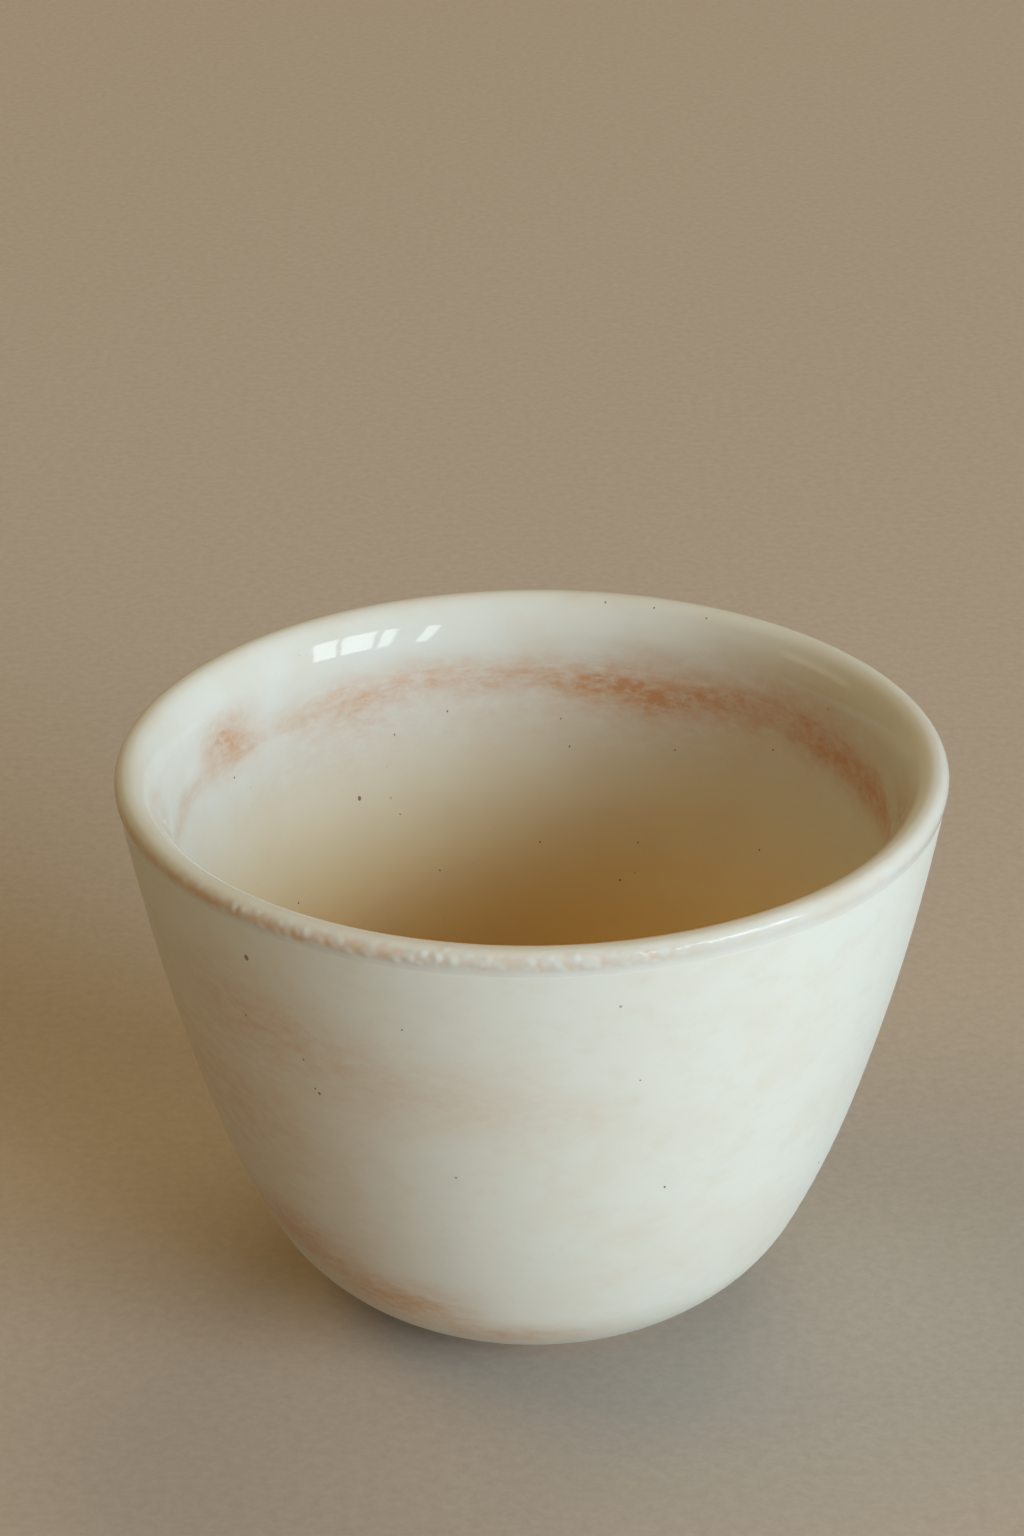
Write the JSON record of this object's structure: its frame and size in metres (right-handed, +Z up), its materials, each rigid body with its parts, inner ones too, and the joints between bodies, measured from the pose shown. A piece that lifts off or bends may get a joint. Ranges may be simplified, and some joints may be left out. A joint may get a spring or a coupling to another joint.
{
  "type": "drinking cup",
  "caption": "Handleless hand-thrown stoneware cup with a deep rounded bowl, a rolled lip, coats of pale glaze inside and out, and a small bare foot ring.",
  "frame": {"origin": "centre of the foot ring's resting face, on the table", "axes": "+Z up along the axis of the cup; X and Y are free, as the cup is round"},
  "size_m": [0.09, 0.09, 0.0656],
  "materials": {
    "stoneware_clay": "fired bare clay, dry and matte, peach to buff",
    "bare_foot_clay": "fired bare clay with fine turning lines, matte",
    "liner_glaze": "satin feldspathic glaze, cream, deepening to honey in the well, with iron specks",
    "lip_glaze": "glossy double coat, cool white, with a pink iron flash along its lower edge inside",
    "outer_glaze": "satin feldspathic glaze, greenish cream white with faint peach mottling"
  },
  "bodies": {
    "root": {"clay_body": "stoneware_clay", "foot_ring": "bare_foot_clay", "liner_glaze": "liner_glaze", "lip_glaze": "lip_glaze", "outer_glaze": "outer_glaze"}
  },
  "joints": []
}
